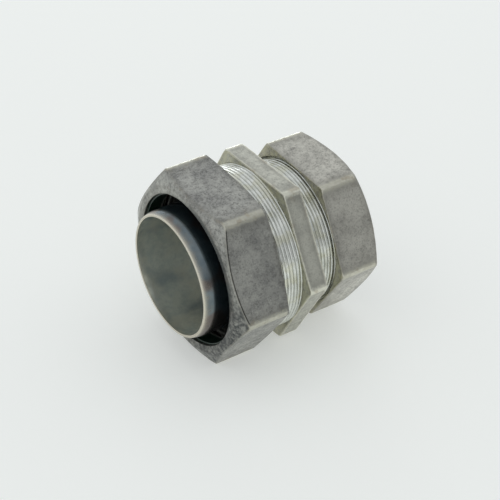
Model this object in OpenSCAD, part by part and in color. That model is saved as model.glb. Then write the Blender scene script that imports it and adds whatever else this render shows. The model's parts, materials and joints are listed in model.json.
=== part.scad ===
// Transition compression fitting: joins a flexible metal conduit to a plain-ended rigid conduit.
// The bore runs along X. The flexible conduit goes on at -X, over the ferrule and inside its nut.
// The rigid conduit goes in at +X. The origin is on the bore axis at the middle of the length, +Z is up,
// and the collar stands on one of its flats. The nuts are backed off a few turns, as for assembly.

/* [Overall] */
// Length from the ferrule's rim to the outer face of the pipe nut
overall_l = 74; // [73.5:0.5:75]
// Pitch of both threads
pitch = 1.5; // [1.25:0.25:1.5]

/* [Body] */
// Width of the hexagonal collar across its flats
collar_af = 66; // [65.5:0.5:67.5]
// Width of the collar along the bore
collar_w = 8; // [7.5:0.5:8.5]
// Distance from the middle of the length to the collar's conduit side
collar_shift = 0.5; // [0:0.5:1]
// Diameter of the throat that the wires pass through
throat_d = 46; // [44:0.5:47]

/* [Conduit side] */
// Width of the conduit nut across its flats
conduit_nut_af = 68; // [67.5:0.5:70]
// Turn of the conduit nut about the bore, counted from the collar's hexagon
conduit_nut_turn = 5.2; // [0:0.1:30]
// Bare thread between the conduit nut and the collar
conduit_nut_gap = 9; // [8.5:0.5:9.5]
// Outside diameter of the conduit side's thread
conduit_thread_d = 65; // [64.5:0.5:65]
// Mouth of the conduit nut, which the conduit passes through
conduit_mouth_d = 60; // [59.6:0.2:60]
// Outside diameter of the ferrule, which fits inside the conduit
ferrule_d = 50.2; // [50:0.1:50.4]
// Wall of the ferrule's tube
ferrule_wall = 1; // [0.8:0.1:1.2]

/* [Pipe side] */
// Width of the pipe nut across its flats
pipe_nut_af = 61; // [60.5:0.5:63]
// Turn of the pipe nut about the bore, counted from the collar's hexagon
pipe_nut_turn = 3.1; // [0:0.1:30]
// Bare thread between the pipe nut and the collar
pipe_nut_gap = 9; // [8.5:0.5:9.5]
// Outside diameter of the pipe side's thread
pipe_thread_d = 58; // [57.5:0.5:58]
// Outside diameter of the rigid conduit that the socket takes
pipe_d = 50; // [49.5:0.5:50]
// Slot in the split clamp ring
clamp_slot_w = 5; // [3:0.5:7]

/* [Hidden] */
round_fn = 144;
hex_sides = 6;

// Thread form: 60 degree ridges with flat crests and roots
thread_depth = 0.5413 * pitch;
crest_w = pitch / 8;
root_w = pitch / 4;
flank_w = (pitch - crest_w - root_w) / 2;
thread_clearance = 0.05;

// Clearances between loose rings and their neighbours
ring_gap = 0.3;
face_gap = 0.1;

// Places along the bore
rim_x = -overall_l / 2;
pipe_nut_x1 = overall_l / 2;
collar_x0 = collar_shift;
collar_x1 = collar_x0 + collar_w;
conduit_spigot_l = 16.5;
pipe_spigot_l = 16;
conduit_spigot_x = collar_x0 - conduit_spigot_l;
pipe_spigot_x = collar_x1 + pipe_spigot_l;
conduit_nut_l = 21.8;
conduit_nut_x1 = collar_x0 - conduit_nut_gap;
conduit_nut_x0 = conduit_nut_x1 - conduit_nut_l;
pipe_nut_x0 = collar_x1 + pipe_nut_gap;

// Outside of the hexagons: chamfer length along the bore, then its angle from the end face
nut_chamfer_l = 3.2;
nut_chamfer_angle = 27;
nut_back_l = 1.2;
nut_back_angle = 12;
blunt_l = 0.4;
blunt_angle = 20;
corner_blunt = 0.35;

// Inside of the conduit nut
conduit_bore_r = conduit_thread_d / 2 + thread_clearance;
conduit_mouth_r = conduit_mouth_d / 2;
conduit_cavity_r = conduit_thread_d / 2 - thread_depth;
conduit_cavity_x = conduit_spigot_x - 8;
conduit_lip_x = conduit_nut_x0 + 1.3;

// Sealing ring and washer of the conduit side
seal_l = 5.7;
washer_l = 0.8;
seal_r = conduit_cavity_r - ring_gap;
seal_bore_r = conduit_mouth_r - 0.6;
seal_x0 = conduit_lip_x + face_gap;
seal_x1 = seal_x0 + seal_l;

// Ferrule: lead-in cone, tube, sleeve in the body, and a flange whose skirt turns back over the conduit
ferrule_r = ferrule_d / 2;
lead_l = 3.2;
lead_drop = 0.9;
flange_r = seal_r - 0.2;
flange_l = 1.2;
skirt_l = 3.1;
skirt_wall = 1.1;
sleeve_l = 6.5;
sleeve_r = ferrule_r - 0.2;
flange_x1 = conduit_spigot_x - face_gap;
flange_x0 = flange_x1 - flange_l;

// Inside of the body
throat_r = throat_d / 2;
socket_r = pipe_d / 2 + 0.25;
stop_x = collar_x1 - 2.5;
seat_l = 2.5;
seat_r = socket_r + 2.15;
counterbore_r = ferrule_r + 0.4;
counterbore_l = 7;
funnel_l = 6;
relief_w = 0.8;

// Inside of the pipe nut
pipe_bore_r = pipe_thread_d / 2 + thread_clearance;
pipe_mouth_r = pipe_d / 2 + 0.75;
pipe_cavity_r = pipe_thread_d / 2 - thread_depth;
pipe_cavity_x = pipe_spigot_x + 3;
pipe_lip_x = pipe_nut_x1 - 3;
pipe_cone_l = 2;
pipe_cone_r = pipe_mouth_r + 1.05;

// Rings of the pipe side
ring_bore_r = socket_r + 0.15;
pipe_seal_r = seat_r - 0.05;
pipe_seal_x0 = pipe_spigot_x - 1.8;
pipe_seal_x1 = pipe_spigot_x + 1.7;
clamp_l = 4.2;
clamp_r = pipe_cavity_r - 0.4;
clamp_x1 = pipe_lip_x - ring_gap;
clamp_x0 = clamp_x1 - clamp_l;

// A profile of [x, radius] points turned about the bore
module turned(profile) {
    rotate([0, 90, 0])
        rotate_extrude($fn = round_fn)
            polygon([for (p = profile) [p[1], p[0]]]);
}

// A hexagonal prism along the bore with two corners level with the axis before its turn
module hex_prism(across_flats, x0, x1, turn) {
    rotate([90 + turn, 0, 0])
        rotate([0, 90, 0])
            translate([0, 0, x0])
                cylinder(r = corner_r(across_flats), h = x1 - x0, $fn = hex_sides);
}

function corner_r(across_flats) = across_flats / 2 / cos(30);

// A hexagon with its corners blunted and each end chamfered by [length, angle from the end face]
module hex_blank(across_flats, x0, x1, turn, end0, end1) {
    full_r = corner_r(across_flats);
    blunt_r = full_r - corner_blunt;
    intersection() {
        hex_prism(across_flats, x0, x1, turn);
        turned([
            [x0, 0],
            [x0, full_r - end0[0] / tan(end0[1])],
            [x0 + end0[0] - corner_blunt * tan(end0[1]), blunt_r],
            [x1 - end1[0] + corner_blunt * tan(end1[1]), blunt_r],
            [x1, full_r - end1[0] / tan(end1[1])],
            [x1, 0]
        ]);
    }
}

// Outline of a row of thread ridges, from the root before the first to the root after the last
function ridges(x0, x1, r) = let (count = floor((x1 - x0) / pitch)) [
    for (i = [0 : count - 1]) let (x = x0 + i * pitch) each [
        [x, r - thread_depth],
        [x + flank_w, r],
        [x + flank_w + crest_w, r],
        [x + 2 * flank_w + crest_w, r - thread_depth]
    ]
];

module threaded_spigot(x0, x1, r) {
    turned(concat(
        [[x0, 0]],
        ridges(x0, x1, r),
        [[x1, r - thread_depth], [x1, 0]]
    ));
}

module body() {
    color("darkseagreen")
        difference() {
            union() {
                hex_blank(collar_af, collar_x0, collar_x1, 0,
                    [blunt_l, blunt_angle], [blunt_l, blunt_angle]);
                threaded_spigot(conduit_spigot_x, collar_x0 + relief_w, conduit_thread_d / 2);
                threaded_spigot(collar_x1 - relief_w, pipe_spigot_x, pipe_thread_d / 2);
            }
            turned([
                [conduit_spigot_x - 1, 0],
                [conduit_spigot_x - 1, counterbore_r],
                [conduit_spigot_x + counterbore_l, counterbore_r],
                [conduit_spigot_x + counterbore_l + funnel_l, throat_r],
                [stop_x, throat_r],
                [stop_x, socket_r],
                [pipe_spigot_x - seat_l, socket_r],
                [pipe_spigot_x, seat_r],
                [pipe_spigot_x + 1, seat_r],
                [pipe_spigot_x + 1, 0]
            ]);
        }
}

module conduit_nut() {
    thread_mouth_l = 1.1;
    thread_mouth_r = conduit_nut_af / 2 - 0.6;
    edge = 0.4;
    color("darkgray")
        difference() {
            hex_blank(conduit_nut_af, conduit_nut_x0, conduit_nut_x1, conduit_nut_turn,
                [nut_chamfer_l, nut_chamfer_angle], [nut_back_l, nut_back_angle]);
            turned([
                [conduit_nut_x0 - 1, 0],
                [conduit_nut_x0 - 1, conduit_mouth_r + edge],
                [conduit_nut_x0, conduit_mouth_r + edge],
                [conduit_nut_x0 + edge, conduit_mouth_r],
                [conduit_lip_x, conduit_mouth_r],
                [conduit_lip_x + conduit_cavity_r - conduit_mouth_r, conduit_cavity_r],
                [conduit_cavity_x, conduit_cavity_r],
                [conduit_cavity_x, conduit_bore_r],
                [conduit_nut_x1 - thread_mouth_l, conduit_bore_r],
                [conduit_nut_x1, thread_mouth_r],
                [conduit_nut_x1 + 1, thread_mouth_r],
                [conduit_nut_x1 + 1, 0]
            ]);
        }
}

module conduit_seal_ring() {
    bevel_l = seal_r - conduit_mouth_r + face_gap;
    color("darkgreen")
        turned([
            [seal_x0, seal_bore_r],
            [seal_x0, seal_r - bevel_l],
            [seal_x0 + bevel_l, seal_r],
            [seal_x1, seal_r],
            [seal_x1, seal_bore_r]
        ]);
}

module conduit_slip_washer() {
    color("silver")
        turned([
            [seal_x1, seal_bore_r + 0.1],
            [seal_x1, seal_r],
            [seal_x1 + washer_l, seal_r],
            [seal_x1 + washer_l, seal_bore_r + 0.1]
        ]);
}

module ferrule() {
    bore_r = ferrule_r - ferrule_wall;
    color("slategray")
        turned([
            [rim_x, bore_r - lead_drop],
            [rim_x, ferrule_r - lead_drop],
            [rim_x + lead_l, ferrule_r],
            [flange_x0, ferrule_r],
            [flange_x0, flange_r - skirt_wall],
            [flange_x1 - skirt_l, flange_r - skirt_wall],
            [flange_x1 - skirt_l, flange_r],
            [flange_x1, flange_r],
            [flange_x1, sleeve_r],
            [flange_x1 + sleeve_l, sleeve_r],
            [flange_x1 + sleeve_l, bore_r],
            [rim_x + lead_l, bore_r]
        ]);
}

module pipe_nut() {
    thread_mouth_l = 1.9;
    thread_mouth_r = pipe_nut_af / 2 - 0.3;
    edge = 0.5;
    color("darkgray")
        difference() {
            hex_blank(pipe_nut_af, pipe_nut_x0, pipe_nut_x1, pipe_nut_turn,
                [blunt_l, blunt_angle], [nut_chamfer_l, nut_chamfer_angle]);
            turned([
                [pipe_nut_x0 - 1, 0],
                [pipe_nut_x0 - 1, thread_mouth_r],
                [pipe_nut_x0, thread_mouth_r],
                [pipe_nut_x0 + thread_mouth_l, pipe_bore_r],
                [pipe_cavity_x, pipe_bore_r],
                [pipe_cavity_x, pipe_cavity_r],
                [pipe_lip_x - pipe_cone_l, pipe_cavity_r],
                [pipe_lip_x, pipe_cone_r],
                [pipe_lip_x, pipe_mouth_r],
                [pipe_nut_x1 - edge, pipe_mouth_r],
                [pipe_nut_x1, pipe_mouth_r + edge],
                [pipe_nut_x1 + 1, pipe_mouth_r + edge],
                [pipe_nut_x1 + 1, 0]
            ]);
        }
}

module pipe_seal_ring() {
    small_r = socket_r + (pipe_seal_x0 - pipe_spigot_x + seat_l) * (seat_r - socket_r) / seat_l - 0.05;
    color("black")
        turned([
            [pipe_seal_x0, ring_bore_r],
            [pipe_seal_x0, small_r],
            [pipe_spigot_x, pipe_seal_r],
            [pipe_seal_x1, pipe_seal_r],
            [pipe_seal_x1, ring_bore_r]
        ]);
}

module pipe_slip_washer() {
    color("silver")
        turned([
            [clamp_x0 - washer_l, ring_bore_r],
            [clamp_x0 - washer_l, clamp_r],
            [clamp_x0, clamp_r],
            [clamp_x0, ring_bore_r]
        ]);
}

module pipe_clamp_ring() {
    bevel_l = 1.8;
    bevel_drop = 1.1;
    color("gold")
        difference() {
            turned([
                [clamp_x0, ring_bore_r],
                [clamp_x0, clamp_r],
                [clamp_x1 - bevel_l, clamp_r],
                [clamp_x1, clamp_r - bevel_drop],
                [clamp_x1, ring_bore_r]
            ]);
            translate([clamp_x0 - 1, -clamp_slot_w / 2, 0])
                cube([clamp_l + 2, clamp_slot_w, clamp_r + 1]);
        }
}

body();
conduit_nut();
conduit_slip_washer();
conduit_seal_ring();
ferrule();
pipe_nut();
pipe_slip_washer();
pipe_clamp_ring();
pipe_seal_ring();
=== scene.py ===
"""Looks of a compression fitting that joins a flexible conduit to a rigid one.

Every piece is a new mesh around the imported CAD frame. Each is lofted round the bore, which is the X axis:
an outline of (x, radius) points in millimetres is repeated at many angles, and its radii may change with the
angle, as a hexagon's do. The angle counts from +Y towards +Z, which is a positive turn about +X.
"""
import json
import math

import bmesh
import bpy
import numpy as np
from mathutils import Matrix, Vector, noise


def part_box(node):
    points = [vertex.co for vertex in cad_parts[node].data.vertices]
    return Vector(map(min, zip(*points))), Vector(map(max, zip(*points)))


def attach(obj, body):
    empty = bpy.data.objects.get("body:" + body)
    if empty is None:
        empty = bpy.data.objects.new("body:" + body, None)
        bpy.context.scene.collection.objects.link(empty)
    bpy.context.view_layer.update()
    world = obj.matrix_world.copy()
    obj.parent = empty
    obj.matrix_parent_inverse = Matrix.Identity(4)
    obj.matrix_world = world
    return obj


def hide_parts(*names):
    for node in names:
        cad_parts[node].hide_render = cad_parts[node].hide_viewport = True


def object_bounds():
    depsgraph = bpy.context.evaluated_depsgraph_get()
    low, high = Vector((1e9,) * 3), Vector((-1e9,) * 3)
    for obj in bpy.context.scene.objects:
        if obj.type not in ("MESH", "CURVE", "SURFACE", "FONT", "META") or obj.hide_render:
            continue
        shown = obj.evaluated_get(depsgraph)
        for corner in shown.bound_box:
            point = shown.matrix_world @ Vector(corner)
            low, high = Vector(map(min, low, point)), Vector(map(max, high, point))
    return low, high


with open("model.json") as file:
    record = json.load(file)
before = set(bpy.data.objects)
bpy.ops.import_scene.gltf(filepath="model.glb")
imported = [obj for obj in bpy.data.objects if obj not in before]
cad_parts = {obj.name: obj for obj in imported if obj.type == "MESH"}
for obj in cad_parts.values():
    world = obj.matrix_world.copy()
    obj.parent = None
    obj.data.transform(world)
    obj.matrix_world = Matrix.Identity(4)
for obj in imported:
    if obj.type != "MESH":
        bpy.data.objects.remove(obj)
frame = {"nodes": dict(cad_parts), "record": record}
cad_low, cad_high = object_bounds()

# ------------------------------------------------------------------ sizes, in millimetres and degrees

MM = 0.001

# Threads. A nut's own ridges clear the body's, so that neither touches the other as it turns.
PITCH = 1.5
THREAD_DEPTH = 0.5413 * PITCH
RIDGE_DEPTH = 0.3
THREAD_GAP = 0.35
CONDUIT_THREAD_R = 32.5
PIPE_THREAD_R = 29.0
LEAD_IN_DROP = 0.4
THREAD_MOUTH_L = 1.2

# Hexagons and their chamfers. A chamfer's length is along the bore, at a corner of the hexagon.
NUT_CORNER_R = 2.0
COLLAR_CORNER_R = 1.8
COLLAR_W = 8.0
NUT_CHAMFER_L = 3.2
NUT_CHAMFER_ANGLE = 27.0
NUT_BACK_L = 1.2
NUT_BACK_ANGLE = 12.0
BLUNT_L = 0.4
BLUNT_ANGLE = 20.0
LEAST_BEVEL = 0.3
CAST_FILLET = 0.45

# Insides of the two nuts
CONDUIT_NUT_RIM_W = 0.6
CONDUIT_MOUTH_R = 30.0
CONDUIT_LIP_L = 1.3
CONDUIT_CAVITY_L = 6.3
PIPE_NUT_RIM_W = 0.5
PIPE_MOUTH_R = 25.75
PIPE_LIP_L = 3.0
PIPE_CONE_R = 26.8
PIPE_CONE_L = 2.0
PIPE_CAVITY_L = 9.5

# Inside of the body
THROAT_R = 23.0
COUNTERBORE_R = 25.5
COUNTERBORE_L = 7.0
FUNNEL_L = 6.0
SOCKET_R = 25.25
SOCKET_L = 18.5
SEAT_L = 2.5
SEAT_R = 27.4

# Ferrule
LEAD_L = 4.6
LEAD_DROP = 0.9
LEAD_STEPS = 8
FERRULE_WALL = 1.0
SLEEVE_R = 24.9
SLEEVE_L = 6.5
RIM_FILLET = 0.45
FLANGE_L = 1.2
SKIRT_L = 3.1
SKIRT_WALL = 1.1

# Rings
SEAL_SET_BACK = 0.6
WASHER_SET_BACK = 0.5
SEAL_BEVEL = 1.4
RING_CLEARANCE = 0.15
CLAMP_BEVEL_L = 1.8
CLAMP_BEVEL_DROP = 1.1
CLAMP_SLOT_W = 5.0
PIPE_SEAL_BEVEL_L = 1.8
PIPE_SEAL_BEVEL_DROP = 1.55

# How finely the pieces are divided
FLAT_STEPS = 30
CORNER_STEPS = 8
ROUND_STEPS = 216
FILLET_STEPS = 5
LONGEST_FILLET_SHARE = 0.45
ROW_SPACING = 0.9
WELD_DISTANCE = 2e-8

# The line behind the larger nut's chamfer, the side to which painted shade darkens that nut's front, and how
# far back from its rim the ferrule gets painted light and scuffs
WITNESS_FLAT = 150.0
WITNESS_OFF = 0.46
WITNESS_W = 0.7
WITNESS_DEPTH = 0.2
WITNESS_FADE = 1.0
PAINTED_SHADE_SIDE = 212.0
RIM_LIGHT_AND_SCUFF_LENGTH = 3.0

# How far wear, and dirt with painted shade, spread from an edge, and how strong they are
WEAR_WIDTH = 0.7
DIRT_AND_SHADE_WIDTH = 1.6
CORNER_WEAR_WIDTH = 1.4
WEAR_BY_SHARPNESS = 1.4
CREST_WEAR = 0.75
ROOT_DIRT_AND_SHADE = 0.9

# How a cast surface goes in and out: depth of its waves, their size, and depth of the nicks in worn edges.
BODY_UNEVENNESS = (0.03, 3.0, 0.12)
NUT_UNEVENNESS = (0.05, 3.5, 0.25)
NICK_FINENESS = 2.3
NICK_SHIFT = 7
NICK_LEAST = 0.1

# One pitch of thread as (share of the pitch from the ridge's middle, share of the depth). Tumbling has
# flattened the crests, so they are wide and the roots between them are narrow.
RIDGE = [(0, 1), (0.16, 1), (0.23, 0.97), (0.27, 0.86), (0.38, 0.14), (0.42, 0.03),
         (0.5, 0), (0.58, 0.03), (0.62, 0.14), (0.73, 0.86), (0.77, 0.97), (0.84, 1)]


def box_of(node):
    """Lowest and highest corner of a CAD node, in millimetres."""
    return [np.array(corner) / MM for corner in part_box(node)]


def ring_of(node):
    """Where a round CAD node starts and ends along the bore, and its outer radius."""
    low, high = box_of(node)
    return low[0], high[0], (high[1] - low[1]) / 2


def flat_of(node):
    """The half width across flats and the angle of a flat, from the largest face of a hexagonal CAD node."""
    mesh = frame["nodes"][node].data
    largest = max(mesh.polygons, key=lambda face: face.area)
    half_width = largest.center.dot(largest.normal) / MM
    return half_width, math.degrees(math.atan2(largest.normal.z, largest.normal.y))


def mount(name):
    """The record's entry for a mount."""
    return next(m for m in frame["record"]["mounts"] if m["name"] == name)


# ------------------------------------------------------------------ hexagons and threads

def hex_angles(half_width, flat_angle, corner_r):
    """Angles once round a hexagon, closer over its rounded corners. The last is 360 past the first."""
    half_flat = math.degrees(math.atan((half_width - corner_r) * math.tan(math.radians(30)) / half_width))
    over_flat = np.linspace(-half_flat, half_flat, FLAT_STEPS + 1)[:-1]
    over_corner = np.linspace(half_flat, 60 - half_flat, CORNER_STEPS + 1)[:-1]
    sector = flat_angle + np.concatenate([over_flat, over_corner])
    turns = [sector + 60 * k for k in range(6)]
    return np.concatenate(turns + [[sector[0] + 360]])


def round_angles():
    """Even angles once round a piece with no flats."""
    return np.linspace(0, 360, ROUND_STEPS + 1)


def hex_radius(angles, half_width, flat_angle, corner_r):
    """Radius of a hexagon with rounded corners at each angle."""
    off = np.radians((angles - flat_angle + 30) % 60 - 30)
    corner_at = (half_width - corner_r) / math.cos(math.radians(30))
    past = math.radians(30) - np.abs(off)
    on_corner = np.tan(np.abs(off)) > (half_width - corner_r) * math.tan(math.radians(30)) / half_width
    inside = np.maximum(corner_r ** 2 - (corner_at * np.sin(past)) ** 2, 0)
    return np.where(on_corner, corner_at * np.cos(past) + np.sqrt(inside), half_width / np.cos(off))


def corner_wear(angles, half_width, flat_angle, corner_r):
    """1 on a hexagon's corners, fading out across the flats."""
    past = np.radians(30 - np.abs((angles - flat_angle + 30) % 60 - 30))
    from_corner = np.maximum(half_width / math.cos(math.radians(30)) * past - corner_r * math.radians(30), 0)
    return np.exp(-from_corner / CORNER_WEAR_WIDTH)


def thread_rows(angles, x_from, x_to, crest_r, most=None):
    """Rows of a right-handed helical thread, cut off at both ends, and no further out than most(x) if given.

    Each row follows the helix, so the last column's rows lie one pitch on from the first column's.
    """
    first = math.floor(x_from / PITCH) - 2
    last = math.ceil(x_to / PITCH) + 1
    rows = []
    for turn in range(first, last):
        for share, height in RIDGE:
            x = np.clip(PITCH * (turn + share + angles / 360), x_from, x_to)
            r = np.full_like(x, crest_r - RIDGE_DEPTH * (1 - height))
            if most:
                r = np.minimum(r, most(x))
            rows.append((x, r, np.full_like(x, height)))
    return rows


# ------------------------------------------------------------------ lofted pieces

def corner(x, r, fillet=0.0, finish=0, on_side=False, use=1.0):
    """A corner of an outline. finish and on_side are of the run after it, use scales its wear, and its dirt
    with painted shade.
    """
    return {"x": x, "r": r, "fillet": fillet, "finish": finish, "on_side": on_side, "use": use}


def thread(rows, finish):
    """A run of thread rows in an outline."""
    return {"rows": rows, "finish": finish}


def spread(value, columns):
    """One value for every column."""
    return np.broadcast_to(np.asarray(value, float), (columns,)).copy()


def ends_of(item, columns):
    """The first and last point of an outline's item, at every column."""
    if "rows" in item:
        return item["rows"][0][:2], item["rows"][-1][:2]
    point = (spread(item["x"], columns), spread(item["r"], columns))
    return point, point


def unit(a, b):
    """Direction and distance from point a to point b, at every column."""
    dx, dr = b[0] - a[0], b[1] - a[1]
    length = np.maximum(np.hypot(dx, dr), 1e-9)
    return (dx / length, dr / length), length


def fillet_rows(item, before, at, after):
    """Rows of the true arc that rounds a corner off, and how sharply the outline turns there."""
    (d1, l1), (d2, l2) = unit(before, at), unit(at, after)
    cosine = np.clip(d1[0] * d2[0] + d1[1] * d2[1], -1, 1)
    cross = d1[0] * d2[1] - d1[1] * d2[0]
    if not item["fillet"]:
        return [at], cross
    tangent = item["fillet"] * np.sqrt((1 - cosine) / np.maximum(1 + cosine, 1e-6))
    tangent = np.minimum(tangent, LONGEST_FILLET_SHARE * np.minimum(l1, l2))
    start = (at[0] - d1[0] * tangent, at[1] - d1[1] * tangent)
    end = (at[0] + d2[0] * tangent, at[1] + d2[1] * tangent)
    weight = np.sqrt((1 + cosine) / 2)
    rows = []
    for t in np.linspace(0, 1, FILLET_STEPS):
        a, b, c = (1 - t) ** 2, 2 * weight * t * (1 - t), t ** 2
        rows.append(tuple((a * start[i] + b * at[i] + c * end[i]) / (a + b + c) for i in (0, 1)))
    return rows, cross


def outline_rows(outline, columns):
    """All rows of a closed outline, with their finish, height on a thread, and the corners among them."""
    ends = [ends_of(item, columns) for item in outline]
    rows, corners = [], []
    for k, item in enumerate(outline):
        finish, on_side = item["finish"], item.get("on_side", False)
        if "rows" in item:
            rows += [(x, r, finish, False, height) for x, r, height in item["rows"]]
        else:
            made, cross = fillet_rows(item, ends[k - 1][1], ends[k][0], ends[(k + 1) % len(outline)][0])
            corners.append((len(rows) + len(made) // 2, cross, item["use"]))
            rows += [(x, r, finish, on_side, None) for x, r in made]
        here, there = rows[-1][:2], ends[(k + 1) % len(outline)][0]
        _, length = unit(here, there)
        count = int(np.max(length) / ROW_SPACING)
        for t in (np.arange(count) + 1) / (count + 1.5):
            x, r = (here[i] + (there[i] - here[i]) * t for i in (0, 1))
            rows.append((x, r, finish, on_side, None))
    return rows, corners


def wear_dirt_and_shade(rows, corners):
    """Per point, wear near the corners that stand out, and dirt with painted shade near those that go in."""
    x, r = np.array([row[0] for row in rows]), np.array([row[1] for row in rows])
    step = np.hypot(np.diff(x, axis=0, append=x[:1]), np.diff(r, axis=0, append=r[:1]))
    along = np.vstack([np.zeros_like(step[:1]), np.cumsum(step, axis=0)])
    whole, along = along[-1], along[:-1]
    turning = np.sign(np.sum(x.mean(1) * np.roll(r.mean(1), -1) - np.roll(x.mean(1), -1) * r.mean(1)))
    wear, dirt_and_shade = np.zeros_like(x), np.zeros_like(x)
    for row, cross, use in corners:
        distance = np.abs(along - along[row])
        distance = np.minimum(distance, whole - distance)
        sharpness = use * np.clip(WEAR_BY_SHARPNESS * np.abs(cross), 0, 1)
        stands_out = cross * turning > 0
        wear = np.maximum(wear, np.where(stands_out, sharpness * np.exp(-distance / WEAR_WIDTH), 0))
        # Corners that go in get dirt and painted shade.
        dirt_and_shade = np.maximum(dirt_and_shade, np.where(stands_out, 0, sharpness * np.exp(-distance / DIRT_AND_SHADE_WIDTH)))
    # On a thread, crests wear and roots get dirt and painted shade.
    for k, row in enumerate(rows):
        if row[4] is not None:
            wear[k], dirt_and_shade[k] = CREST_WEAR * row[4] ** 3, ROOT_DIRT_AND_SHADE * (1 - row[4]) ** 2
    return wear, dirt_and_shade


def loft_faces(rows, columns, split):
    """Faces between neighbouring rows, with two end faces if the ring is split, and each face's finish."""
    count = len(rows)
    faces, finish_of = [], []
    for k in range(count):
        after = (k + 1) % count
        for c in range(columns - 1):
            faces.append((k * columns + c, k * columns + c + 1, after * columns + c + 1, after * columns + c))
            finish_of.append(rows[k][2])
    if split:
        for c in (0, columns - 1):
            faces.append(tuple(k * columns + c for k in range(count)))
            finish_of.append(0)
    return faces, finish_of


def loft(name, angles, outline, finishes, side_wear=None, slot_w=0.0, marks=None):
    """A ring-shaped mesh from an outline, or with a slot_w a split ring whose gap faces +Z.

    marks names further layers for the materials, each a function of the points' places along the bore.
    """
    rows, corners = outline_rows(outline, len(angles))
    wear, dirt_and_shade = wear_dirt_and_shade(rows, corners)
    x, r = np.array([row[0] for row in rows]), np.array([row[1] for row in rows])
    if side_wear is not None:
        on_side = np.array([row[3] for row in rows], float)[:, None]
        wear = np.maximum(wear, on_side * side_wear)
    turn = np.radians(angles)
    if slot_w:
        half_slot = np.arcsin(slot_w / 2 / r)
        turn = math.pi / 2 + half_slot + (2 * math.pi - 2 * half_slot) * np.radians(angles) / (2 * math.pi)
    points = np.stack([x, r * np.cos(turn), r * np.sin(turn)], axis=2) * MM

    mesh = bpy.data.meshes.new(name)
    faces, finish_of = loft_faces(rows, len(angles), slot_w > 0)
    mesh.from_pydata(points.reshape(-1, 3).tolist(), [], faces)
    mesh.polygons.foreach_set("material_index", finish_of)
    layers = {"wear": wear, "dirt_and_shade": dirt_and_shade, **{mark: value(x) for mark, value in (marks or {}).items()}}
    for layer, values in layers.items():
        made_layer = mesh.attributes.new(layer, "FLOAT", "POINT")
        made_layer.data.foreach_set("value", values.astype(np.float32).ravel())
    weld(mesh)
    made = bpy.data.objects.new(name, mesh)
    bpy.context.scene.collection.objects.link(made)
    for material in finishes:
        mesh.materials.append(material)
    mesh.polygons.foreach_set("use_smooth", [True] * len(mesh.polygons))
    even = made.modifiers.new("even_shading", "WEIGHTED_NORMAL")
    even.weight = 50
    return made


def weld(mesh):
    """Joins the loft's two ends and the rows that were cut off level, and faces all of it outwards."""
    work = bmesh.new()
    work.from_mesh(mesh)
    bmesh.ops.remove_doubles(work, verts=work.verts, dist=WELD_DISTANCE)
    bmesh.ops.dissolve_degenerate(work, edges=work.edges, dist=WELD_DISTANCE)
    bmesh.ops.recalc_face_normals(work, faces=work.faces)
    work.to_mesh(mesh)
    work.free()
    mesh.update()


def roughen(piece, depth, size, nicks):
    """Moves a cast surface in and out by a soft noise, and knocks small nicks into its worn edges."""
    mesh = piece.data
    count = len(mesh.vertices)
    places, normals, worn = np.zeros(count * 3), np.zeros(count * 3), np.zeros(count)
    mesh.vertices.foreach_get("co", places)
    mesh.vertices.foreach_get("normal", normals)
    mesh.attributes["wear"].data.foreach_get("value", worn)
    places, normals = places.reshape(-1, 3), normals.reshape(-1, 3)
    soft = np.array([noise.noise(p) for p in places / (size * MM)])
    knock = np.array([noise.noise(p) for p in places / (size * MM) * NICK_FINENESS + NICK_SHIFT])
    move = depth * soft - nicks * worn * np.maximum(0, knock - NICK_LEAST)
    mesh.vertices.foreach_set("co", (places + normals * move[:, None] * MM).ravel())
    mesh.update()


# ------------------------------------------------------------------ materials

def tone(red, green, blue):
    """A screen colour, each part from 0 to 255, as the linear colour that a shader takes."""
    return tuple((c / 255) ** 2.2 for c in (red, green, blue)) + (1.0,)


def add(tree, kind, settings=None, **inputs):
    """A shader node with its settings, and its inputs by name: a socket is linked, anything else is set."""
    made = tree.nodes.new(kind)
    for key, value in (settings or {}).items():
        setattr(made, key, value)
    for key, value in inputs.items():
        put(tree, made.inputs[key.replace("_", " ")], value)
    return made


def put(tree, socket, value):
    """Links a socket into another, or sets it to a value."""
    if isinstance(value, bpy.types.NodeSocket):
        tree.links.new(value, socket)
    else:
        socket.default_value = value


def maths(tree, operation, a, b):
    """The output of a maths node."""
    made = tree.nodes.new("ShaderNodeMath")
    made.operation = operation
    put(tree, made.inputs[0], a)
    put(tree, made.inputs[1], b)
    return made.outputs[0]


def blend(tree, share, a, b, mode="MIX"):
    """Colour a turning into colour b as share goes from 0 to 1."""
    made = tree.nodes.new("ShaderNodeMix")
    made.data_type, made.blend_type = "RGBA", mode
    put(tree, made.inputs[0], share)
    put(tree, made.inputs[6], a)
    put(tree, made.inputs[7], b)
    return made.outputs[2]


def tint(tree, base, mask, share, colour):
    """base with a colour laid over it where mask is up, and no more than share of it."""
    return blend(tree, maths(tree, "MULTIPLY", mask, share), base, colour)


def ramp(tree, value, low, high, out_low=0.0, out_high=1.0):
    """value from low to high, smoothly turned into out_low to out_high."""
    made = add(tree, "ShaderNodeMapRange", {"interpolation_type": "SMOOTHSTEP"}, Value=value, From_Min=low,
               From_Max=high, To_Min=out_low, To_Max=out_high)
    return made.outputs[0]


def place(tree, stretch=(1, 1, 1), shift=(0, 0, 0)):
    """Object coordinates in millimetres, stretched and then shifted."""
    where = tree.nodes.new("ShaderNodeTexCoord").outputs["Object"]
    scale = tuple(s / MM for s in stretch)
    return add(tree, "ShaderNodeMapping", Vector=where, Scale=scale, Location=shift).outputs[0]


def mottle(tree, where, size, detail=2.0, roughness=0.5):
    """Noise whose blotches are about size millimetres across."""
    return add(tree, "ShaderNodeTexNoise", Vector=where, Scale=1 / size, Detail=detail,
               Roughness=roughness).outputs[0]


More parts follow.
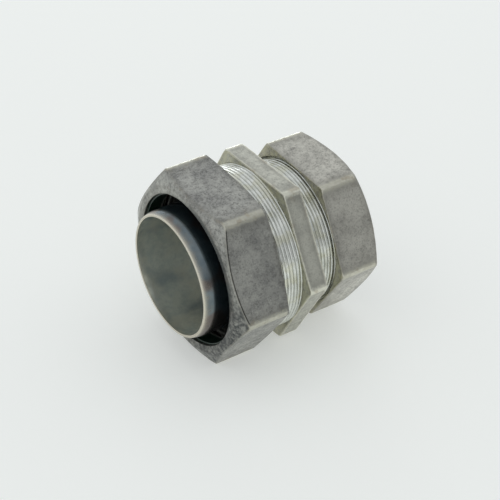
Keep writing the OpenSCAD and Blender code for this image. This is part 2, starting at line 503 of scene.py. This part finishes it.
def attribute(tree, name):
    """A layer of the mesh, which is 0 where the mesh doesn't have it."""
    return add(tree, "ShaderNodeAttribute", {"attribute_name": name}).outputs["Fac"]


def metal(name, metallic):
    """A new material's tree and shader, with a constant metallic value."""
    material = bpy.data.materials.new(name)
    material.use_nodes = True
    tree = material.node_tree
    shader = next(n for n in tree.nodes if n.type == "BSDF_PRINCIPLED")
    shader.inputs["Metallic"].default_value = metallic
    return material, tree, shader


def bump(tree, shader, height, depth, strength):
    """Relief of about depth millimetres."""
    made = add(tree, "ShaderNodeBump", Height=height, Distance=depth * MM, Strength=strength)
    tree.links.new(made.outputs[0], shader.inputs["Normal"])


def cast_metal(name, dark, light, worn, speckling):
    """Tumbled zinc die casting: cloudy grey with fine dark specks, pale specks that are partly painted
    glints, and rubbed edges, which on the collar are partly a painted highlight.
    """
    material, tree, shader = metal(name, 0.92)
    where = place(tree)
    clouds = ramp(tree, mottle(tree, where, 9, 3, 0.55), 0.36, 0.64)
    blotches = mottle(tree, where, 2.0, 4, 0.65)
    grain = mottle(tree, place(tree, shift=(5, 2, 9)), 0.62, 4, 0.65)
    share = maths(tree, "ADD", maths(tree, "MULTIPLY", ramp(tree, blotches, 0.34, 0.66), 0.45),
                  maths(tree, "MULTIPLY", clouds, 0.55))
    base = blend(tree, share, dark, light)
    gathered = maths(tree, "SUBTRACT", grain, maths(tree, "MULTIPLY", blotches, 0.3))
    specks = ramp(tree, gathered, 0.34, 0.5)
    base = tint(tree, base, specks, speckling, tone(84, 83, 80))
    # Pale specks, partly painted glints.
    pale_specks_and_glints = ramp(tree, grain, 0.44, 0.34)
    base = tint(tree, base, pale_specks_and_glints, 0.6 * speckling, tone(222, 222, 214))
    edge = attribute(tree, "wear")
    beside = maths(tree, "MULTIPLY", edge, maths(tree, "SUBTRACT", 1.0, edge))
    base = tint(tree, base, beside, 1.2, tone(100, 98, 90))
    broken = maths(tree, "MULTIPLY", maths(tree, "SUBTRACT", grain, 0.5), 1.8)
    # Rubbed edges; on the collar, partly a painted highlight.
    rubbed_and_lit = ramp(tree, maths(tree, "ADD", edge, broken), 0.4, 1.1)
    base = tint(tree, base, rubbed_and_lit, 0.65, worn)
    stain = ramp(tree, mottle(tree, place(tree, shift=(2, 6, 1)), 3.5, 3), 0.54, 0.66)
    base = tint(tree, base, maths(tree, "MULTIPLY", stain, edge), 0.35, tone(140, 122, 98))
    # Painted shade: the conduit nut's front face and chamfer, darker towards its lower front.
    painted_shade = maths(tree, "MULTIPLY", attribute(tree, "painted_shade"), ramp(tree, blotches, 0.35, 0.65, 1.0, 0.4))
    base = blend(tree, painted_shade, base, tone(68, 71, 72))
    # Painted reflection: an olive tint on the end faces that look onto the threads.
    painted_reflection = maths(tree, "MULTIPLY", attribute(tree, "painted_reflection"), ramp(tree, blotches, 0.38, 0.62, 0.05, 0.42))
    base = blend(tree, painted_reflection, base, tone(172, 168, 126))
    # Dirt and painted shade where the surface goes in.
    base = tint(tree, base, attribute(tree, "dirt_and_shade"), 0.85, tone(62, 61, 46))
    # Painted shade: the bottom of the fine groove behind the chamfer, near black.
    base = blend(tree, attribute(tree, "painted_groove_shade"), base, tone(24, 22, 20))
    tree.links.new(base, shader.inputs["Base Color"])
    dulled = maths(tree, "MULTIPLY", specks, 0.12)
    roughness = maths(tree, "ADD", ramp(tree, blotches, 0.35, 0.65, 0.4, 0.3), dulled)
    tree.links.new(roughness, shader.inputs["Roughness"])
    relief = maths(tree, "ADD", blotches, maths(tree, "MULTIPLY", grain, 0.45))
    bump(tree, shader, relief, 0.16, 0.6)
    return material


def thread_metal(name, soil):
    """Cut thread: bright crests with fine rings round the bore, dirt and painted shade in the roots. soil
    darkens it all.
    """
    material, tree, shader = metal(name, 0.92)
    rings = mottle(tree, place(tree, (1, 0.03, 0.03)), 0.14, 2)
    patches = ramp(tree, mottle(tree, place(tree), 3.5, 3), 0.35, 0.65)
    base = blend(tree, patches, tone(214, 217, 210), tone(234, 236, 230))
    base = tint(tree, base, ramp(tree, rings, 0.5, 0.7), 0.3, tone(168, 170, 160))
    olive = ramp(tree, mottle(tree, place(tree, shift=(6, 3, 1)), 6, 2), 0.48, 0.62)
    base = tint(tree, base, olive, 0.35, tone(200, 196, 158))
    # Dirt and painted shade in the roots.
    base = tint(tree, base, attribute(tree, "dirt_and_shade"), 0.5, tone(92, 94, 84))
    base = blend(tree, 1.0, base, soil, "MULTIPLY")
    tree.links.new(base, shader.inputs["Base Color"])
    tree.links.new(ramp(tree, rings, 0.3, 0.7, 0.2, 0.34), shader.inputs["Roughness"])
    bump(tree, shader, rings, 0.03, 0.4)
    return material


def bore_metal(name):
    """Inside of a casting: darker and duller than its outside, with faint rings from turning."""
    material, tree, shader = metal(name, 0.75)
    where = place(tree)
    rings = mottle(tree, place(tree, (1, 0.05, 0.05)), 0.3, 2)
    patches = ramp(tree, mottle(tree, where, 2.5, 3), 0.35, 0.65)
    base = blend(tree, patches, tone(98, 102, 98), tone(134, 137, 130))
    base = tint(tree, base, attribute(tree, "wear"), 0.5, tone(186, 184, 172))
    # Dirt and painted shade in the inner corners.
    base = tint(tree, base, attribute(tree, "dirt_and_shade"), 0.6, tone(46, 48, 44))
    tree.links.new(base, shader.inputs["Base Color"])
    tree.links.new(ramp(tree, patches, 0, 1, 0.5, 0.4), shader.inputs["Roughness"])
    bump(tree, shader, maths(tree, "ADD", rings, mottle(tree, where, 0.5, 2)), 0.04, 0.5)
    return material


def ferrule_metal(name):
    """Outside of the rolled tube: steel, dark blue as painted shade and reflection from inside the nut's
    mouth, browned in places, and lighter towards the rim as painted light, with scuffs.
    """
    material, tree, shader = metal(name, 0.92)
    where = place(tree)
    patches = ramp(tree, mottle(tree, where, 5, 3, 0.5), 0.32, 0.68)
    # Dark blue base: painted shade and reflection from inside the nut's mouth.
    base = blend(tree, patches, tone(82, 98, 108), tone(102, 115, 122))
    brown = ramp(tree, mottle(tree, place(tree, shift=(3, 1, 4)), 11, 1), 0.47, 0.57)
    base = tint(tree, base, brown, 0.7, tone(100, 84, 80))
    scuffs = maths(tree, "MULTIPLY", maths(tree, "SUBTRACT", mottle(tree, where, 3, 5, 0.65), 0.5), 2.2)
    # Painted light towards the rim, which stands out of the nut's mouth, broken by scuffs.
    rubbed_and_lit = ramp(tree, maths(tree, "ADD", attribute(tree, "rim_light_and_scuff"), scuffs), 0.2, 1.3)
    base = tint(tree, base, rubbed_and_lit, 0.6, tone(116, 109, 95))
    base = tint(tree, base, attribute(tree, "wear"), 0.9, tone(232, 226, 208))
    tree.links.new(base, shader.inputs["Base Color"])
    tree.links.new(ramp(tree, rubbed_and_lit, 0, 1, 0.2, 0.34), shader.inputs["Roughness"])
    bump(tree, shader, maths(tree, "ADD", scuffs, patches), 0.02, 0.4)
    return material


def tube_bore_metal(name):
    """Inside of the rolled tube: smooth and grey-green, with broad bluish and tan clouds."""
    material, tree, shader = metal(name, 0.8)
    where = place(tree)
    patches = ramp(tree, mottle(tree, where, 4, 4, 0.6), 0.32, 0.68)
    base = blend(tree, patches, tone(180, 188, 180), tone(216, 220, 208))
    bluish = ramp(tree, mottle(tree, place(tree, shift=(7, 2, 5)), 18, 2), 0.44, 0.6)
    base = tint(tree, base, bluish, 0.6, tone(124, 138, 144))
    tan = ramp(tree, mottle(tree, place(tree, shift=(2, 9, 4)), 13, 3), 0.5, 0.66)
    base = tint(tree, base, tan, 0.45, tone(224, 220, 200))
    base = tint(tree, base, attribute(tree, "wear"), 0.7, tone(228, 220, 198))
    tree.links.new(base, shader.inputs["Base Color"])
    tree.links.new(ramp(tree, patches, 0, 1, 0.5, 0.4), shader.inputs["Roughness"])
    bump(tree, shader, patches, 0.02, 0.4)
    return material


def plated_metal(name, dark, light, roughness):
    """Zinc plated steel: satin or dull, with fine crystals."""
    material, tree, shader = metal(name, 0.95)
    where = place(tree)
    crystals = mottle(tree, where, 0.6, 3)
    base = blend(tree, crystals, dark, light)
    # Dirt and painted shade in the inner corners.
    base = tint(tree, base, attribute(tree, "dirt_and_shade"), 0.5, tone(80, 80, 74))
    base = tint(tree, base, attribute(tree, "wear"), 0.5, tone(216, 216, 208))
    tree.links.new(base, shader.inputs["Base Color"])
    tree.links.new(ramp(tree, crystals, 0.3, 0.7, roughness, roughness + 0.12), shader.inputs["Roughness"])
    bump(tree, shader, crystals, 0.02, 0.4)
    return material


def moulded_seal(name, dark, light, roughness, grain):
    """A moulded ring, of green nylon or black rubber, with a little dust and faint mould grain."""
    material, tree, shader = metal(name, 0.0)
    where = place(tree)
    patches = mottle(tree, where, 2.0, 3)
    base = blend(tree, patches, dark, light)
    dust = ramp(tree, mottle(tree, where, 0.7, 3), 0.58, 0.72)
    base = tint(tree, base, dust, 0.25, tone(112, 118, 108))
    base = tint(tree, base, attribute(tree, "wear"), 0.35, light)
    tree.links.new(base, shader.inputs["Base Color"])
    uneven = ramp(tree, patches, 0.3, 0.7, roughness - 0.06, roughness + 0.06)
    tree.links.new(uneven, shader.inputs["Roughness"])
    bump(tree, shader, mottle(tree, where, grain, 2), 0.03, 0.5)
    return material


# ------------------------------------------------------------------ pieces

def witness_depth(angles, half_width, flat_angle):
    """Depth of the fine line that trimming left behind the chamfer, which is on every other flat."""
    flat = flat_angle + 60 * np.round((angles - flat_angle) / 60)
    past = half_width / math.cos(math.radians(30)) * np.radians(30 - np.abs(angles - flat))
    lined = np.round((flat - WITNESS_FLAT) / 60) % 2 == 0
    return WITNESS_DEPTH * lined * np.clip((past - WITNESS_FADE) / WITNESS_FADE, 0, 1)


def hex_side(radius, x0, x1, end0, end1, witness=None):
    """The outside of a hexagonal blank, from its first end face to its last, chamfered at both.

    end0 and end1 are (length at the corners, angle from the end face, wear) of the chamfers. witness is the
    depth of a fine groove just behind the first one.
    """
    full_r, cast = radius.max(), 0

    def bevel(end):
        length, angle, use = end
        slope = math.tan(math.radians(angle))
        face_r = np.minimum(full_r - length / slope, radius - LEAST_BEVEL)
        depth = np.maximum((radius - full_r + length / slope) * slope, LEAST_BEVEL)
        return face_r, depth, use

    (face0, depth0, use0), (face1, depth1, use1) = bevel(end0), bevel(end1)
    groove = [] if witness is None else [
        corner(x0 + depth0 + WITNESS_OFF + WITNESS_W * t, radius - witness * deep, 0, cast, True, use=0)
        for t, deep in ((-0.5, 0), (0, 1), (0.5, 0))]
    return [
        corner(x0, face0, CAST_FILLET, cast, use=use0),
        corner(x0 + depth0, radius, CAST_FILLET, cast, on_side=True, use=use0),
        *groove,
        corner(x1 - depth1, radius, CAST_FILLET, cast, use=use1),
        corner(x1, face1, CAST_FILLET, cast, use=use1),
    ]


def build_body(finishes):
    """Collar with a threaded spigot on each side, a funnel and throat for wires, and the pipe's socket."""
    x0, x1, _ = ring_of("body")
    half_width, flat_angle = flat_of("body")
    collar_x = mount("collar_flat_top")["pos_m"][0] / MM
    collar0, collar1 = collar_x - COLLAR_W / 2, collar_x + COLLAR_W / 2
    angles = hex_angles(half_width, flat_angle, COLLAR_CORNER_R)
    radius = hex_radius(angles, half_width, flat_angle, COLLAR_CORNER_R)
    cast, cut, inside = 0, 1, 2
    conduit_root = CONDUIT_THREAD_R - THREAD_DEPTH
    pipe_root = PIPE_THREAD_R - THREAD_DEPTH
    conduit_thread = thread_rows(
        angles, x0, collar0, CONDUIT_THREAD_R, lambda x: conduit_root - LEAD_IN_DROP + (x - x0))
    pipe_thread = thread_rows(
        angles, collar1, x1, PIPE_THREAD_R, lambda x: pipe_root - LEAD_IN_DROP + (x1 - x))
    stop_x = x1 - SOCKET_L
    outline = [
        corner(x0, COUNTERBORE_R, 0.3, cut),
        thread(conduit_thread, cut),
        corner(collar0, CONDUIT_THREAD_R - RIDGE_DEPTH, 0, cast),
        # The collar's end towards the pipe nut wears more, partly a painted highlight along that edge.
        *hex_side(radius, collar0, collar1, (BLUNT_L, BLUNT_ANGLE, 1.0), (BLUNT_L, BLUNT_ANGLE, 1.3)),
        corner(collar1, PIPE_THREAD_R - RIDGE_DEPTH, 0, cut),
        thread(pipe_thread, cut),
        corner(x1, SEAT_R, 0.2, inside),
        corner(x1 - SEAT_L, SOCKET_R, 0.4, inside),
        corner(stop_x, SOCKET_R, 0.3, inside),
        corner(stop_x, THROAT_R, 0.5, inside),
        corner(x0 + COUNTERBORE_L + FUNNEL_L, THROAT_R, 3.0, inside),
        corner(x0 + COUNTERBORE_L, COUNTERBORE_R, 0.6, inside),
    ]
    wear = corner_wear(angles, half_width, flat_angle, COLLAR_CORNER_R)

    # Painted reflection of the threads on the collar's end faces.
    def painted_reflection(x):
        return (np.abs(x - collar_x) > COLLAR_W / 2 - BLUNT_L / 2).astype(float)

    return loft("body_casting", angles, outline, finishes, wear, marks={"painted_reflection": painted_reflection})


def build_conduit_nut(finishes):
    """Gland nut of the flexible conduit: a lip at its mouth, a cavity for the seal, and the thread."""
    low, high = box_of("conduit_nut")
    x0, x1 = low[0], high[0]
    half_width, flat_angle = flat_of("conduit_nut")
    angles = hex_angles(half_width, flat_angle, NUT_CORNER_R)
    radius = hex_radius(angles, half_width, flat_angle, NUT_CORNER_R)
    cast, cut, inside = 0, 1, 2
    cavity_r = CONDUIT_THREAD_R - THREAD_DEPTH
    cavity_x = x0 + CONDUIT_CAVITY_L
    mouth_r = half_width - CONDUIT_NUT_RIM_W
    nut_thread = thread_rows(angles, cavity_x, x1 - THREAD_MOUTH_L, CONDUIT_THREAD_R + THREAD_GAP)
    witness = witness_depth(angles, half_width, flat_angle)
    side = hex_side(radius, x0, x1, (NUT_CHAMFER_L, NUT_CHAMFER_ANGLE, 0.55),
                    (NUT_BACK_L, NUT_BACK_ANGLE, 0.3), witness)
    groove_x = side[3]["x"]

    # Painted shade along the bottom of the groove.
    def painted_groove_shade(x):
        return np.where(np.abs(x - groove_x) < WITNESS_W / 4, witness / WITNESS_DEPTH, 0)

    # Painted shade over the front face and chamfer, darkest towards the lower front.
    def painted_shade(x):
        return np.where(x < groove_x - WITNESS_W, np.clip(np.cos(np.radians(angles - PAINTED_SHADE_SIDE)), 0, 1), 0)

    outline = [
        corner(x0 + CONDUIT_LIP_L, CONDUIT_MOUTH_R, 0.2, cast),
        corner(x0, CONDUIT_MOUTH_R, 0.5, cast, use=0.7),
        *side,
        corner(x1, mouth_r, 0.3, cast, use=0.5),
        corner(x1 - THREAD_MOUTH_L, CONDUIT_THREAD_R + THREAD_GAP, 0, cut),
        thread(nut_thread[::-1], cut),
        corner(cavity_x, cavity_r, 0.2, inside),
        corner(x0 + CONDUIT_LIP_L + cavity_r - CONDUIT_MOUTH_R, cavity_r, 0.3, inside),
    ]
    wear = corner_wear(angles, half_width, flat_angle, NUT_CORNER_R)
    return loft("conduit_nut_casting", angles, outline, finishes, wear,
                marks={"painted_groove_shade": painted_groove_shade, "painted_shade": painted_shade})


def build_pipe_nut(finishes):
    """Gland nut of the rigid conduit: thread, cavity, a cone that closes the clamp ring, and the lip."""
    low, high = box_of("pipe_nut")
    x0, x1 = low[0], high[0]
    half_width, flat_angle = flat_of("pipe_nut")
    angles = hex_angles(half_width, flat_angle, NUT_CORNER_R)
    radius = hex_radius(angles, half_width, flat_angle, NUT_CORNER_R)
    cast, cut, inside = 0, 1, 2
    cavity_r = PIPE_THREAD_R - THREAD_DEPTH
    cavity_x = x1 - PIPE_CAVITY_L
    lip_x = x1 - PIPE_LIP_L
    mouth_r = half_width - PIPE_NUT_RIM_W
    nut_thread = thread_rows(angles, x0 + THREAD_MOUTH_L, cavity_x, PIPE_THREAD_R + THREAD_GAP)
    outline = [
        *hex_side(radius, x0, x1, (BLUNT_L, BLUNT_ANGLE, 0.6), (NUT_CHAMFER_L, NUT_CHAMFER_ANGLE, 0.5)),
        corner(x1, PIPE_MOUTH_R, 0.6, inside),
        corner(lip_x, PIPE_MOUTH_R, 0.3, inside),
        corner(lip_x, PIPE_CONE_R, 0.2, inside),
        corner(lip_x - PIPE_CONE_L, cavity_r, 0.3, inside),
        corner(cavity_x, cavity_r, 0.2, inside),
        thread(nut_thread[::-1], cut),
        corner(x0 + THREAD_MOUTH_L, PIPE_THREAD_R + THREAD_GAP, 0, cast),
        corner(x0, mouth_r, 0.3, cast, use=0.5),
    ]
    wear = corner_wear(angles, half_width, flat_angle, NUT_CORNER_R)
    # Painted reflection of the threads on the nut's face towards the collar.
    return loft("pipe_nut_casting", angles, outline, finishes, wear,
                marks={"painted_reflection": lambda x: (x < x0 + BLUNT_L / 2).astype(float)})


def build_ferrule(finishes):
    """Tube that goes inside the flexible conduit: curved-in rim, a flange with a skirt, and a sleeve."""
    x0, sleeve_x, flange_r = ring_of("ferrule")
    tube_r = mount("ferrule_spigot")["dims"]["r_mm"]
    bore_r = tube_r - FERRULE_WALL
    flange_x = sleeve_x - SLEEVE_L
    # The hidden finish is steel painted near black, as shade.
    outside, inside, hidden = 0, 1, 2
    curve_r = (LEAD_L ** 2 + LEAD_DROP ** 2) / (2 * LEAD_DROP)
    lead = [(LEAD_L * t, curve_r - math.sqrt(curve_r ** 2 - (LEAD_L * (1 - t)) ** 2))
            for t in np.linspace(0, 1, LEAD_STEPS)]
    outline = [
        corner(x0, tube_r - LEAD_DROP, RIM_FILLET, outside),
        *[corner(x0 + x, tube_r - drop, 0, outside) for x, drop in lead[1:]],
        corner(flange_x - FLANGE_L, tube_r, 0.8, hidden),
        corner(flange_x - FLANGE_L, flange_r - SKIRT_WALL, 0.4, hidden),
        corner(flange_x - SKIRT_L, flange_r - SKIRT_WALL, 0.3, hidden),
        corner(flange_x - SKIRT_L, flange_r, 0.4, hidden),
        corner(flange_x, flange_r, 0.6, hidden),
        corner(flange_x, SLEEVE_R, 0.4, hidden),
        corner(sleeve_x, SLEEVE_R, 0.3, hidden),
        corner(sleeve_x, bore_r, 0.3, inside),
        *[corner(x0 + x, bore_r - drop, 0, inside) for x, drop in lead[:0:-1]],
        corner(x0, bore_r - LEAD_DROP, RIM_FILLET, outside),
    ]
    # Painted light: the tube lighter towards its rim.
    return loft("ferrule_tube", round_angles(), outline, finishes,
                marks={"rim_light_and_scuff": lambda x: np.exp((x0 - x) / RIM_LIGHT_AND_SCUFF_LENGTH)})


def build_ring(name, node, bore_r, fillet, finishes, bevels=(0, 0), drops=(0, 0), slot_w=0.0):
    """A plain ring. bevels and drops are the length and depth of the cones at its two ends."""
    x0, x1, r = ring_of(node)
    outline = [corner(x0, bore_r, fillet), corner(x0, r - drops[0], fillet)]
    if bevels[0]:
        outline.append(corner(x0 + bevels[0], r, fillet))
    if bevels[1]:
        outline.append(corner(x1 - bevels[1], r, fillet))
    outline += [corner(x1, r - drops[1], fillet), corner(x1, bore_r, fillet)]
    return loft(name, round_angles(), outline, finishes, slot_w=slot_w)


def fit(piece, node, body):
    """Lets a finished piece stand for its CAD node."""
    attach(piece, body)
    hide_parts(node)


# The collar's rubbed colour is brighter, partly a painted highlight.
nut_rubbed, collar_wear_and_highlight = tone(204, 202, 184), tone(232, 231, 214)
conduit_nut_cast = cast_metal("dull_casting", tone(132, 132, 129), tone(180, 180, 173), nut_rubbed, 0.42)
pipe_nut_cast = cast_metal("pale_casting", tone(162, 160, 152), tone(208, 206, 195), nut_rubbed, 0.38)
collar_cast = cast_metal("collar_casting", tone(172, 172, 162), tone(208, 208, 195), collar_wear_and_highlight, 0.28)
cut_thread = thread_metal("cut_thread", tone(255, 255, 255))
greased_thread = thread_metal("greased_thread", tone(62, 62, 56))
inner_bore = bore_metal("inner_bore")
rolled_tube = ferrule_metal("rolled_tube")
tube_bore = tube_bore_metal("tube_bore")
plated = plated_metal("plated_steel", tone(146, 150, 150), tone(188, 190, 186), 0.25)
# Painted shade: near-black plated steel for the ferrule's flange and the washer that sit in shade inside the
# conduit nut.
painted_shade_plated = plated_metal("painted_shade_plated_steel", tone(26, 28, 28), tone(42, 44, 42), 0.6)
# The green seal is painted nearly black, partly its own dark green and partly painted shade.
green_nylon_and_shade = moulded_seal("green_nylon_and_shade", tone(6, 26, 18), tone(18, 52, 38), 0.35, 0.5)
black_rubber = moulded_seal("black_rubber", tone(22, 22, 22), tone(48, 48, 46), 0.6, 0.35)

body = build_body([collar_cast, cut_thread, inner_bore])
roughen(body, *BODY_UNEVENNESS)
fit(body, "body", "fitting_body")

conduit_nut = build_conduit_nut([conduit_nut_cast, greased_thread, inner_bore])
roughen(conduit_nut, *NUT_UNEVENNESS)
fit(conduit_nut, "conduit_nut", "conduit_nut")

pipe_nut = build_pipe_nut([pipe_nut_cast, cut_thread, inner_bore])
roughen(pipe_nut, *NUT_UNEVENNESS)
fit(pipe_nut, "pipe_nut", "pipe_nut")

ferrule = build_ferrule([rolled_tube, tube_bore, painted_shade_plated])
fit(ferrule, "ferrule", "ferrule")

conduit_seal = build_ring("conduit_seal", "conduit_seal_ring", CONDUIT_MOUTH_R - SEAL_SET_BACK, 0.3,
                          [green_nylon_and_shade], bevels=(SEAL_BEVEL, 0), drops=(SEAL_BEVEL, 0))
fit(conduit_seal, "conduit_seal_ring", "conduit_ring")

conduit_washer = build_ring("conduit_washer", "conduit_slip_washer", CONDUIT_MOUTH_R - WASHER_SET_BACK,
                            0.15, [painted_shade_plated])
fit(conduit_washer, "conduit_slip_washer", "conduit_ring")

ring_bore_r = SOCKET_R + RING_CLEARANCE
pipe_washer = build_ring("pipe_washer", "pipe_slip_washer", ring_bore_r, 0.15, [plated])
fit(pipe_washer, "pipe_slip_washer", "pipe_ring")

clamp_ring = build_ring("clamp_ring", "pipe_clamp_ring", ring_bore_r, 0.25, [plated],
                        bevels=(0, CLAMP_BEVEL_L), drops=(0, CLAMP_BEVEL_DROP), slot_w=CLAMP_SLOT_W)
fit(clamp_ring, "pipe_clamp_ring", "pipe_ring")

pipe_seal = build_ring("pipe_seal", "pipe_seal_ring", ring_bore_r, 0.3, [black_rubber],
                       bevels=(PIPE_SEAL_BEVEL_L, 0), drops=(PIPE_SEAL_BEVEL_DROP, 0))
fit(pipe_seal, "pipe_seal_ring", "fitting_body")

# ------------------------------------------------------------------ floor, light and camera

# Metres and degrees from here on. Levels are what a white sheet would show, where 1 is white.
FLOOR_SIZE = 3.0
FLOOR_TONE = tone(217, 219, 216)
FLOOR_GLOW = 0.45
ROOM_LEVEL = 0.85
ROOM_ABOVE = 0.72
DIM_AZIMUTH = 28.0
DIM_ELEVATION = -4.0
DIM_FROM = 0.66
DIM_TO = 0.97
DIM_LEVEL = 0.4
ROOM_COLOUR = (0.95, 0.975, 1.0, 1)
LAMP_DISTANCE = 1.2
BACKLIGHT_AZIMUTH = 153.0
BACKLIGHT_ELEVATION = 4.0
BACKLIGHT_SIZE = 0.45
BACKLIGHT_LEVEL = 3.4
BACKLIGHT_COLOUR = (0.93, 0.97, 1.0)
CAMERA_AZIMUTH = -34.81
CAMERA_ELEVATION = 35.62
CAMERA_ROLL = 0.6
CAMERA_DISTANCE = 0.557
CAMERA_TARGET = Vector((-0.00105, -0.00078, -0.00172))
CAMERA_LENS = 104.9


def direction(azimuth, elevation):
    """A unit vector away from the object, where azimuth 0 is in front of it, at -Y, and 90 at its +X end."""
    a, e = math.radians(azimuth), math.radians(elevation)
    return Vector((math.sin(a) * math.cos(e), -math.cos(a) * math.cos(e), math.sin(e)))


def build_floor():
    """Pale floor under the object's lowest point."""
    mesh = bpy.data.meshes.new("floor")
    half, z = FLOOR_SIZE / 2, cad_low.z
    corners = [(-half, -half, z), (half, -half, z), (half, half, z), (-half, half, z)]
    mesh.from_pydata(corners, [], [(0, 1, 2, 3)])
    floor = bpy.data.objects.new("floor", mesh)
    bpy.context.scene.collection.objects.link(floor)
    material = bpy.data.materials.new("pale_floor")
    material.use_nodes = True
    shader = material.node_tree.nodes["Principled BSDF"]
    shader.inputs["Base Color"].default_value = FLOOR_TONE
    shader.inputs["Roughness"].default_value = 0.9
    shader.inputs["Emission Color"].default_value = FLOOR_TONE
    shader.inputs["Emission Strength"].default_value = FLOOR_GLOW
    mesh.materials.append(material)


def softbox(name, azimuth, elevation, size, brightness, colour):
    """A square light that faces the object. brightness is what its face shows, where 1 is white."""
    data = bpy.data.lights.new(name, "AREA")
    data.shape, data.size, data.color = "SQUARE", size, colour
    data.energy = brightness * math.pi * size ** 2
    lamp = bpy.data.objects.new(name, data)
    lamp.location = direction(azimuth, elevation) * LAMP_DISTANCE
    lamp.rotation_euler = (-lamp.location).to_track_quat("-Z", "Y").to_euler()
    bpy.context.scene.collection.objects.link(lamp)


def build_world():
    """Soft light from all round, brightest overhead, with the dim side of the room in front of the object."""
    world = bpy.data.worlds.new("studio")
    world.use_nodes = True
    tree = world.node_tree
    facing = tree.nodes.new("ShaderNodeTexCoord").outputs["Generated"]
    height = add(tree, "ShaderNodeSeparateXYZ", Vector=facing).outputs[2]
    level = ramp(tree, height, 0.0, 0.8, ROOM_LEVEL, ROOM_ABOVE)
    towards = tree.nodes.new("ShaderNodeVectorMath")
    towards.operation = "DOT_PRODUCT"
    put(tree, towards.inputs[0], facing)
    put(tree, towards.inputs[1], direction(DIM_AZIMUTH, DIM_ELEVATION))
    dimming = ramp(tree, towards.outputs["Value"], DIM_FROM, DIM_TO, 1.0, DIM_LEVEL)
    background = tree.nodes["Background"]
    background.inputs["Color"].default_value = ROOM_COLOUR
    tree.links.new(maths(tree, "MULTIPLY", level, dimming), background.inputs["Strength"])
    bpy.context.scene.world = world


def build_camera():
    """Camera at the photographed viewing angle."""
    data = bpy.data.cameras.new("camera")
    data.lens, data.sensor_width = CAMERA_LENS, 36
    data.clip_start, data.clip_end = 0.01, 20
    camera = bpy.data.objects.new("camera", data)
    back = direction(CAMERA_AZIMUTH, CAMERA_ELEVATION)
    level = (-back).to_track_quat("-Z", "Y").to_matrix().to_4x4()
    roll = Matrix.Rotation(math.radians(CAMERA_ROLL), 4, "Z")
    camera.matrix_world = Matrix.Translation(CAMERA_TARGET + back * CAMERA_DISTANCE) @ level @ roll
    bpy.context.scene.collection.objects.link(camera)
    bpy.context.scene.camera = camera


build_floor()
build_world()
softbox("backlight", BACKLIGHT_AZIMUTH, BACKLIGHT_ELEVATION, BACKLIGHT_SIZE, BACKLIGHT_LEVEL,
        BACKLIGHT_COLOUR)
build_camera()
bpy.context.scene.view_settings.view_transform = "Standard"
